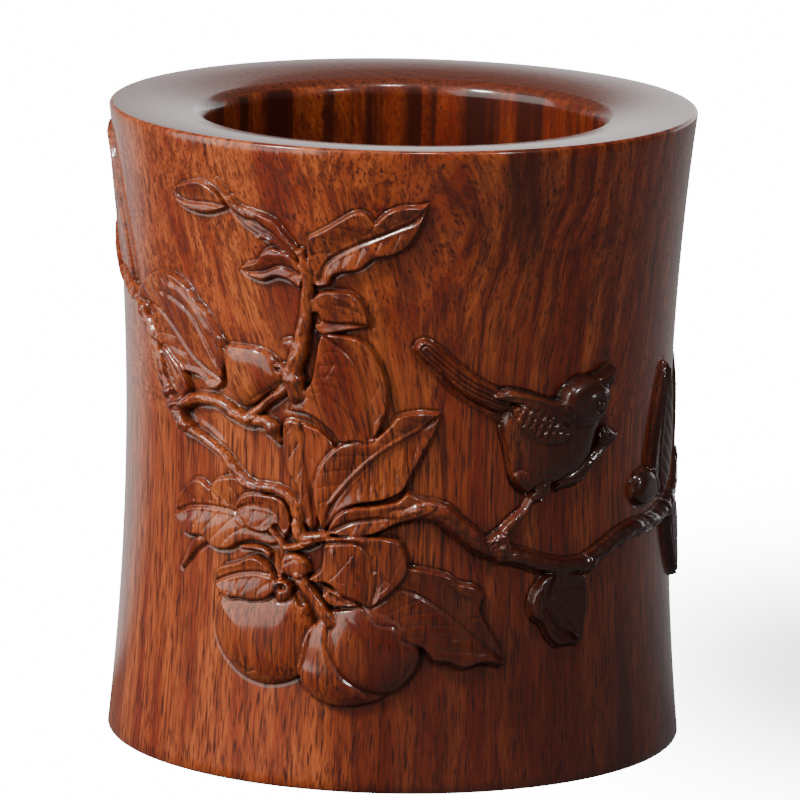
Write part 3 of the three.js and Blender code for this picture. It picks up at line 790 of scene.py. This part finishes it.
def carved_wall():
    """The turned wall with the sheet's heights carved on it, thinned where it is plain."""
    plain = ((360 - CARVED_DEGREES) / 2, PLAIN_COLUMNS)
    carved = (CARVED_DEGREES, int(CARVED_DEGREES / COLUMN_STEP))
    piece = spun("rosewood_wall", wall_profile(), [plain, carved, plain])
    bpy.ops.object.modifier_add(type="SUBSURF")
    finer = piece.modifiers[-1]
    finer.subdivision_type = "SIMPLE"
    finer.levels = finer.render_levels = DIVISIONS
    bpy.ops.object.modifier_apply(modifier=finer.name)
    mesh = piece.data
    points, radius, across = measured(mesh)
    turned = wall_radius(points[:, 2])
    outside = radius > turned - 0.05
    lift = np.where(outside, sample(sheet.height, across, points[:, 2]), 0)
    points[:, :2] *= ((np.where(outside, turned, radius) + lift) / radius)[:, None]
    mesh.vertices.foreach_set("co", (points * MM).ravel())
    mesh.update()
    thin = piece.modifiers.new("thin", "DECIMATE")
    thin.ratio = min(1.0, WALL_TRIANGLES / (2 * len(mesh.polygons)))
    thin.use_collapse_triangulate = True
    take_up(piece)
    bpy.ops.object.modifier_apply(modifier=thin.name)
    bpy.ops.object.shade_smooth_by_angle(angle=WALL_CREASE)
    return piece


def true_normals(piece):
    """Gives the thinned wall the normals of the true surface: the sheet's slopes on the outside, and the
    turned profile's elsewhere."""
    points, radius, across = measured(piece.data)
    height = points[:, 2]
    rise_up, rise_across = np.gradient(sheet.height, CELL)
    flare = wall_radius(height + 0.5) - wall_radius(height - 0.5)
    tilt = flare + sample(rise_up, across, height)
    turn = sample(rise_across, across, height)
    zero = np.zeros(len(points))
    slope_start = math.radians(90 + DISH_SLOPE)
    dish_end = SHOULDER_CENTRE + SHOULDER_RADIUS * math.cos(slope_start)
    dish_low = SHOULDER_HEIGHT + SHOULDER_RADIUS * math.sin(slope_start)
    share = np.clip((RIM_EDGE - radius) / (RIM_EDGE - dish_end), 0, 1)
    dish_slope = 2 * share * (POT_HEIGHT - dish_low) / (RIM_EDGE - dish_end)
    outside = (radius > wall_radius(height) - 1.5) & (height > 1.5) & (height <= EDGE_HEIGHT)
    round_edge = (radius > RIM_EDGE) & (height > EDGE_HEIGHT)
    dish = (radius <= RIM_EDGE) & (radius > dish_end) & (height > dish_low - 0.1)
    shoulder = (radius <= dish_end) & (height > SHOULDER_HEIGHT)
    bore = (radius < BORE_RADIUS + 0.1) & (height <= SHOULDER_HEIGHT) & (height > BOARD_THICKNESS + 3)
    normals = np.zeros((len(points), 3))
    # For each part of the profile: where it is, and how far its normal points outwards, round and up.
    for where, out, around, up in (
        (outside, zero + 1, -turn, -tilt),
        (round_edge, radius - RIM_EDGE, zero, height - EDGE_HEIGHT),
        (dish, -dish_slope, zero, zero + 1),
        (shoulder, radius - SHOULDER_CENTRE, zero, height - SHOULDER_HEIGHT),
        (bore, zero - 1, zero, zero),
    ):
        way_x, way_y = points[:, 0] / radius, points[:, 1] / radius
        normal = np.stack([out * way_x - around * way_y, out * way_y + around * way_x, up], axis=1)
        normal /= np.linalg.norm(normal, axis=1)[:, None] + 1e-9
        normals[where] = normal[where]
    piece.data.normals_split_custom_set_from_vertices(normals)


def store_shade_masks(piece):
    """Stores how deep in a carved line, and how high on the carving, each point of the wall is, as masks
    for painted shade.
    """
    points, radius, across = measured(piece.data)
    on = radius > wall_radius(points[:, 2]) - 1.0
    near = soften(sheet.height, max(1, round(0.7 / CELL)))
    wide = soften(sheet.height, max(1, round(1.8 / CELL)))
    # Painted shade: how far each cell lies below the carving round it.
    crevice_shade = np.clip((near - sheet.height) * 0.75, 0, 1) + np.clip((wide - sheet.height) * 0.22, 0, 0.5)
    for name, grid in (("crevice_shade", crevice_shade), ("lift", sheet.height)):
        layer = piece.data.attributes.new(name, "FLOAT", "POINT")
        layer.data.foreach_set("value", np.where(on, sample(grid, across, points[:, 2]), 0))


def floor_board():
    """The board let into the foot: a soft edge, a stepped hole, and shallow tool rings on its two faces."""
    low, high = BOARD_RECESS, BOARD_RECESS + BOARD_THICKNESS
    edge = BORE_RADIUS + SEAT_WIDTH - JOINT_GAP
    hole, head = PLUG_RADIUS + JOINT_GAP, PLUG_HEAD_RADIUS + JOINT_GAP
    ledge = low + PLUG_HEAD_THICKNESS + JOINT_GAP
    under = [(r, low + 0.03 + 0.03 * math.sin(r * 2.1)) for r in np.linspace(head + 0.4, edge - 0.5, 60)]
    above = [(r, high - 0.03 + 0.03 * math.sin(r * 1.7)) for r in np.linspace(edge - 0.5, hole + 0.4, 60)]
    profile = (
        [(head, low + 0.4)] + under + [(edge, low + 0.5), (edge, high - 0.5)] + above
        + [(hole, high - 0.4), (hole, ledge), (head, ledge)]
    )
    piece = spun("rosewood_board", profile, [(360, 144)])
    bpy.ops.object.shade_smooth_by_angle(angle=FLOOR_CREASE)
    return piece


def centre_plug():
    """The headed peg, sawn off flush and slightly crowned on its underside."""
    low, high = BOARD_RECESS, BOARD_RECESS + BOARD_THICKNESS
    head_top = low + PLUG_HEAD_THICKNESS
    rings = np.linspace(0, PLUG_HEAD_RADIUS - 0.5, 12)
    under = [(r, low + 0.12 * (r / PLUG_HEAD_RADIUS) ** 2) for r in rings]
    above = [(r, high - 0.02 * math.sin(r * 3)) for r in np.linspace(PLUG_RADIUS - 0.4, 0, 12)]
    profile = (
        under + [(PLUG_HEAD_RADIUS, low + 0.6), (PLUG_HEAD_RADIUS, head_top), (PLUG_RADIUS, head_top)]
        + [(PLUG_RADIUS, high - 0.4)] + above
    )
    piece = spun("rosewood_plug", profile, [(360, 96)])
    bpy.ops.object.mode_set(mode="EDIT")
    bpy.ops.mesh.select_all(action="SELECT")
    bpy.ops.mesh.remove_doubles(threshold=0.00001)
    bpy.ops.mesh.select_all(action="DESELECT")
    bpy.ops.object.mode_set(mode="OBJECT")
    bpy.ops.object.shade_smooth_by_angle(angle=FLOOR_CREASE)
    return piece


# ----------------------------------------------------------------------------------------------------
# Shading.
# ----------------------------------------------------------------------------------------------------
class Value:
    """A shader socket that Python's signs work on."""

    def __init__(self, shader, socket):
        self.shader, self.socket = shader, socket

    def maths(self, operation, a, b=0.0):
        return self.shader.node("ShaderNodeMath", {"operation": operation}, {0: a, 1: b})

    def __add__(self, other):
        return self.maths("ADD", self, other)

    def __radd__(self, other):
        return self.maths("ADD", other, self)

    def __sub__(self, other):
        return self.maths("SUBTRACT", self, other)

    def __rsub__(self, other):
        return self.maths("SUBTRACT", other, self)

    def __mul__(self, other):
        return self.maths("MULTIPLY", self, other)

    def __rmul__(self, other):
        return self.maths("MULTIPLY", other, self)

    def __truediv__(self, other):
        return self.maths("DIVIDE", self, other)

    def __rtruediv__(self, other):
        return self.maths("DIVIDE", other, self)

    def sqrt(self):
        return self.maths("SQRT", self)

    def fract(self):
        return self.maths("FRACT", self)

    def clamp(self, low=0.0, high=1.0):
        return self.shader.node("ShaderNodeClamp", {}, {"Value": self, "Min": low, "Max": high})

    def between(self, low, high):
        """0 below low, 1 above high, smooth between. low may be above high."""
        return self.shader.node(
            "ShaderNodeMapRange", {"interpolation_type": "SMOOTHSTEP"},
            {"Value": self, "From Min": low, "From Max": high, "To Min": 0.0, "To Max": 1.0},
        )


class Shader:
    """The nodes of one material. node() adds any node, and the rest are short ways to the usual ones."""

    def __init__(self, name):
        self.material = bpy.data.materials.new(name)
        self.material.use_nodes = True
        self.tree = self.material.node_tree
        self.tree.nodes.clear()

    def node(self, kind, settings=None, values=None, out=0):
        made = self.tree.nodes.new(kind)
        for key, setting in (settings or {}).items():
            setattr(made, key, setting)
        for key, value in (values or {}).items():
            if isinstance(value, Value):
                self.tree.links.new(value.socket, made.inputs[key])
            else:
                made.inputs[key].default_value = value
        return Value(self, made.outputs[out] if made.outputs else None)

    def place(self):
        return self.node("ShaderNodeTexCoord", out="Object")

    def attribute(self, name):
        return self.node("ShaderNodeAttribute", {"attribute_name": name}, out="Fac")

    def split(self, vector):
        parts = self.node("ShaderNodeSeparateXYZ", {}, {0: vector}).socket.node
        return [Value(self, parts.outputs[i]) for i in range(3)]

    def noise(self, place, scale=1.0, detail=2.0, rough=0.5, distortion=0.0):
        """Soft noise at a place, which is a vector or its x, y and z."""
        if isinstance(place, tuple):
            place = self.node("ShaderNodeCombineXYZ", {}, dict(enumerate(place)))
        values = {
            "Vector": place, "Scale": scale, "Detail": detail, "Roughness": rough, "Distortion": distortion,
        }
        return self.node("ShaderNodeTexNoise", {"noise_dimensions": "3D"}, values)

    def blend(self, share, a, b):
        settings = {"data_type": "RGBA", "blend_type": "MIX", "clamp_factor": True}
        return self.node("ShaderNodeMix", settings, {0: share, 6: a, 7: b}, out=2)

    def raised(self, height, strength, distance, under=None):
        values = {"Height": height, "Strength": strength, "Distance": distance}
        if under:
            values["Normal"] = under
        return self.node("ShaderNodeBump", {}, values)

    def polished(self, colour, rough, normal, coat):
        """Wood under a thin clear polish."""
        values = {
            "Base Color": colour, "Roughness": rough, "Normal": normal, "IOR": 1.5,
            "Coat Weight": coat, "Coat Roughness": 0.12, "Coat IOR": 1.45, "Specular IOR Level": 0.15,
        }
        skin = self.node("ShaderNodeBsdfPrincipled", {}, values)
        self.node("ShaderNodeOutputMaterial", {}, {0: skin})
        return self.material


# The wood's colours, from the palest early wood to the pores, and those of its rim and bore, and the
# painted shade on its carving.
PALE_WOOD = (0.42, 0.100, 0.025)
RED_WOOD = (0.180, 0.022, 0.0065)
BROWN_WOOD = (0.050, 0.0070, 0.0038)
BLACK_WOOD = (0.011, 0.0034, 0.0024, 1)
RIM_BROWN = (0.105, 0.022, 0.010, 1)
RIM_BLACK = (0.014, 0.005, 0.0035, 1)
BORE_RED = (0.11, 0.014, 0.0045, 1)
BORE_BLACK = (0.020, 0.0040, 0.0028, 1)
# Painted shade at the bottom of the carved lines.
PAINTED_CREVICE_SHADE = (0.012, 0.0040, 0.0028, 1)
# Painted shade on the raised carving.
PAINTED_CARVING_SHADE = (0.022, 0.0055, 0.0034, 1)
POLISH = 0.72  # coat weight of the polished wall


def rosewood(name, pith, lean=0.0, carved=False, polish=POLISH, tone=1.0):
    """Solid rosewood: rings round a pith line, long fibres, short dark pores and slow dark streaks.
    pith is where the middle of the tree is, in metres; the wood runs up +Z, or along +X where lean is 1."""
    sh = Shader(name)
    x, y, z = sh.split(sh.place())
    if lean:
        x, z = z, x
    slow = sh.noise((x * 14, y * 14, z * 6), detail=1.5)
    sway = sh.noise((x * 26 + 7.3, y * 26, z * 11), detail=2.0)
    figure = sh.noise((x * 60, y * 60 + 3.1, z * 34), detail=2.0)
    # Rings round the pith, bent out of round and leaning a little up the trunk.
    dx = x - pith[0] + (slow - 0.5) * 0.022 + (sway - 0.5) * 0.006
    dy = y - pith[1] + (sway - 0.5) * 0.008
    radius = (dx * dx + dy * dy).sqrt() + z * 0.035 + (figure - 0.5) * 0.0009
    ring_step = (radius * 360 + (slow - 0.5) * 3).fract()
    late = ring_step.between(0.25, 0.90) * (1 - ring_step.between(0.92, 1.0))
    # Fibres lean one way and then the other, most of all near the top, where they also fan out.
    high = z.between(0.070, 0.125)
    fan = 1 / (1 + (z - 0.078).clamp(0.0, 0.06) * 13)
    weave = (sh.noise((x * 45 + 2.2, y * 45, z * 30), detail=1.0) - 0.5) * (0.0015 + 0.0065 * high)
    fx = (x - 0.017) * fan + weave
    fy = y + weave
    fine = sh.noise((fx * 2300, fy * 2300, z * 52), detail=2.0, rough=0.6)
    fibre = sh.noise((fx * 900, fy * 900, z * 22 + 5.1), detail=3.0, rough=0.65)
    band = sh.noise((fx * 230, fy * 230, z * 6 + 1.7), detail=3.0, rough=0.6)
    wide = sh.noise((x * 72 + 1.3, y * 72, z * 4.5), detail=2.0, rough=0.5)
    mottle = sh.noise((fx * 640, fy * 640, z * 130 + 4.0), detail=2.5, rough=0.65)
    # Pores and dark fibres: short dashes near the top and longer ones lower down.
    short = sh.noise((fx * 2500, fy * 2500, z * 650 + 8.0), detail=1.5, rough=0.6)
    long = sh.noise((fx * 1900, fy * 1900, z * 130 + 3.0), detail=1.5, rough=0.6)
    dash = long + (short - long) * high * 0.8
    pore = dash.between(0.50, 0.62)
    deep_pore = dash.between(0.60, 0.70)
    # Slow dark streaks, most of them on the right and low in the middle. Towards the right, away from the
    # lamps, the wood is also darkened: painted shade.
    streak = sh.noise((x * 52 + 4.0, y * 52, z * 6 + 2.0), detail=3.5, rough=0.6, distortion=0.7)
    shaded_side = (x + (slow - 0.5) * 0.05).between(-0.022, 0.042)
    dark_low = (x + (sway - 0.5) * 0.03).between(-0.020, 0.000) * (1 - z.between(0.020, 0.075))
    dark = (shaded_side + dark_low * 0.8).clamp()
    pale, red, brown = ((r * tone, g * tone, b * tone, 1) for r, g, b in (PALE_WOOD, RED_WOOD, BROWN_WOOD))
    mellow = band.between(0.34, 0.66) * 0.60 + late * 0.25 + wide.between(0.42, 0.64) * 0.40 + dark * 0.25
    wood = sh.blend(mellow.clamp(), pale, red)
    wood = sh.blend((fibre.between(0.48, 0.66) * 0.62 + dark * 0.14).clamp(), wood, brown)
    wood = sh.blend((streak.between(0.50, 0.68) * (0.24 + dark * 0.55)).clamp(), wood, BLACK_WOOD)
    wood = sh.blend(dark_low * 0.62, wood, brown)
    wood = sh.blend((mottle.between(0.50, 0.62) * (0.26 + high * 0.34)).clamp(), wood, brown)
    wood = sh.blend((fine.between(0.50, 0.66) * 0.35).clamp(), wood, brown)
    wood = sh.blend((pore * 0.62).clamp(), wood, brown)
    wood = sh.blend((deep_pore * 0.75).clamp(), wood, BLACK_WOOD)
    rough = 0.32 + fine * 0.10 + pore * 0.08
    if carved:
        # The rim is end grain: darker, with fine dark pores. The bore is streaked from rim to floor.
        out = (x * x + y * y).sqrt()
        rim_top = z.between((POT_HEIGHT - 3.4) * MM, (POT_HEIGHT - 2.8) * MM)
        end = rim_top * (1 - out.between((MOUTH_RADIUS - 1.4) * MM, (MOUTH_RADIUS - 0.7) * MM))
        spots = sh.noise(sh.place(), scale=1500.0, detail=1.5).between(0.50, 0.62)
        wood = sh.blend(end, wood, sh.blend((spots * 0.5 + late * 0.25).clamp(), RIM_BROWN, RIM_BLACK))
        bore = (1 - out.between((BORE_RADIUS + 0.3) * MM, (BORE_RADIUS + 1.8) * MM)) * (1 - end)
        stripes = sh.noise((x * 190, y * 190, z * 3.0), detail=3.0, rough=0.6).between(0.40, 0.60)
        wood = sh.blend(bore * 0.5, wood, BORE_RED)
        wood = sh.blend((bore * stripes * 0.88).clamp(), wood, BORE_BLACK)
        # Painted shade: carved lines are darkened at the bottom, and what stands high is darkened, most of
        # all on the right, away from the lamps.
        crevice_shade = sh.attribute("crevice_shade")
        wood = sh.blend((crevice_shade * 0.92).clamp(), wood, PAINTED_CREVICE_SHADE)
        carving_shade = 0.18 + shaded_side * 0.40 + x.between(0.018, 0.045) * 0.34
        wood = sh.blend((sh.attribute("lift").between(0.2, 1.0) * carving_shade).clamp(), wood, PAINTED_CARVING_SHADE)
        rough = rough + crevice_shade * 0.25
    grain = fine * 0.4 + fibre * 0.3 - pore * 0.5 - deep_pore * 0.6
    tooling = sh.noise(sh.place(), scale=260.0, detail=2.0)
    bumps = sh.raised(tooling, 0.10 if carved else 0.05, 0.0004)
    bumps = sh.raised(grain, 0.12, 0.00012, bumps)
    return sh.polished(wood, rough, bumps, polish)


wall = carved_wall()
true_normals(wall)
store_shade_masks(wall)
board = floor_board()
plug = centre_plug()
wall.data.materials.append(rosewood("polished_rosewood", (0.022, 0.085), carved=True))
board.data.materials.append(rosewood("board_rosewood", (0.0, 0.11), lean=1.0, polish=0.5 * POLISH))
plug.data.materials.append(rosewood("plug_rosewood", (0.003, 0.001), polish=0.4 * POLISH, tone=0.6))
for piece, node, slot in (
    (wall, "carved_wall", "rosewood"),
    (board, "floor_board", "board_wood"),
    (plug, "centre_plug", "plug_wood"),
):
    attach(piece, "root")
    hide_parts(node)


# ----------------------------------------------------------------------------------------------------
# The studio: a white desk and backdrop, a wide soft lamp on the left, and three small weak ones for the
# glints. The two papers and the world look white, but light the pot less than they look.
# ----------------------------------------------------------------------------------------------------
WHITE = (1, 1, 1, 1)
WARM = (1, 0.96, 0.90)
PAPER_WHITE = 16.0
PAPER_GREY = 0.1
SIDE = 3.7  # half the width of the papers, in metres
BACK = 3.0
BACKDROP_TOP = 1.41


def paper(name, corners, glow, white):
    """A sheet of white paper. glow(x, y, z) says how brightly each part of it lights the pot, and
    white(x, y, z) how bright it looks."""
    mesh = bpy.data.meshes.new(name)
    mesh.from_pydata(corners, [], [tuple(range(len(corners)))])
    thing = bpy.data.objects.new(name, mesh)
    bpy.context.collection.objects.link(thing)
    sh = Shader(name)
    x, y, z = sh.split(sh.place())
    seen = sh.node("ShaderNodeLightPath", out="Is Camera Ray")
    dull = sh.node("ShaderNodeBsdfDiffuse", {}, {0: (PAPER_GREY, PAPER_GREY, PAPER_GREY, 1)})
    lit = sh.node("ShaderNodeEmission", {}, {0: WHITE, 1: glow(x, y, z)})
    bright = sh.node("ShaderNodeEmission", {}, {0: WHITE, 1: white(x, y, z)})
    near = sh.node("ShaderNodeAddShader", {}, {0: dull, 1: lit})
    both = sh.node("ShaderNodeMixShader", {}, {0: seen, 1: near, 2: bright})
    sh.node("ShaderNodeOutputMaterial", {}, {0: both})
    mesh.materials.append(sh.material)


def desk_glow(x, y, z):
    """The desk is bright behind the pot, and dims slowly towards the right and quickly towards the left."""
    round_pot = x.maths("ARCTAN2", x, y)  # 0 straight behind, and less than 0 on the left
    right = 0.66 - round_pot.between(-0.1, 0.3) * 0.40 - round_pot.between(0.5, 1.5) * 0.17
    return round_pot.between(-1.15, -0.80) * right


def desk_seen(x, y, z):
    """White, with a faint soft shade beside the pot on the side away from the lamps."""
    across, along = (x - 0.115) / 0.085, (y - 0.06) / 0.16
    shade = 1 - (across * across + along * along).sqrt().between(0.2, 1.35)
    return PAPER_WHITE * (1 - shade * 0.80)


def backdrop_glow(x, y, z):
    """The backdrop is brighter on the right, and dim high up, where the pot's rim mirrors it."""
    high = z.between(0.54, 1.24) * (0.90 - x.between(-0.17, 0.33) * 0.50)
    return (1 - high) * (0.52 + x.between(-0.5, 0.33) * 1.20)


def backdrop_seen(x, y, z):
    return PAPER_WHITE


desk_corners = [(-SIDE, -BACK, 0), (SIDE, -BACK, 0), (SIDE, BACK, 0), (-SIDE, BACK, 0)]
backdrop_corners = [
    (-SIDE, BACK, 0), (SIDE, BACK, 0), (SIDE, BACK, BACKDROP_TOP), (-SIDE, BACK, BACKDROP_TOP),
]
paper("desk", desk_corners, desk_glow, desk_seen)
paper("backdrop", backdrop_corners, backdrop_glow, backdrop_seen)


def lamp(name, place, size, power, colour=(1, 1, 1)):
    """A rectangular soft lamp, aimed at the middle of the pot."""
    light = bpy.data.lights.new(name, "AREA")
    light.shape = "RECTANGLE"
    light.size, light.size_y = size
    light.energy = power
    light.color = colour
    thing = bpy.data.objects.new(name, light)
    bpy.context.collection.objects.link(thing)
    thing.location = place
    aim = [t - p for t, p in zip((0, 0, 0.07), place)]
    flat = math.hypot(aim[0], aim[1])
    thing.rotation_euler = (math.atan2(flat, -aim[2]), 0, math.atan2(-aim[0], aim[1]))


lamp("key", (-0.55, -0.35, 0.80), (0.13, 0.13), 10.0, WARM)
lamp("left", (-1.3, -0.60, 0.45), (2.0, 1.7), 42.0, WARM)
lamp("side", (0.70, -0.75, 0.80), (0.10, 0.10), 4.5)
lamp("above", (0.10, -0.45, 1.10), (0.12, 0.12), 4.0)

world = bpy.data.worlds.new("studio")
world.use_nodes = True
nodes, links = world.node_tree.nodes, world.node_tree.links
dim, white = nodes["Background"], nodes.new("ShaderNodeBackground")
for background, strength in ((dim, 0.09), (white, PAPER_WHITE)):
    background.inputs["Color"].default_value = WHITE
    background.inputs["Strength"].default_value = strength
mix, path = nodes.new("ShaderNodeMixShader"), nodes.new("ShaderNodeLightPath")
links.new(path.outputs["Is Camera Ray"], mix.inputs[0])
links.new(dim.outputs[0], mix.inputs[1])
links.new(white.outputs[0], mix.inputs[2])
links.new(mix.outputs[0], nodes["World Output"].inputs["Surface"])
bpy.context.scene.world = world

camera_data = bpy.data.cameras.new("camera")
camera_data.lens = 353.7
camera_data.sensor_width = 36
camera_data.clip_end = 20
camera = bpy.data.objects.new("camera", camera_data)
bpy.context.collection.objects.link(camera)
camera.location = (0, -1.7115, 0.4181)
camera.rotation_mode = "XYZ"
turn = (
    Matrix.Rotation(math.radians(-0.012), 4, "Z")
    @ Matrix.Rotation(math.radians(78.639), 4, "X")
    @ Matrix.Rotation(math.radians(1.055), 4, "Z")
)
camera.rotation_euler = turn.to_euler("XYZ")
bpy.context.scene.camera = camera
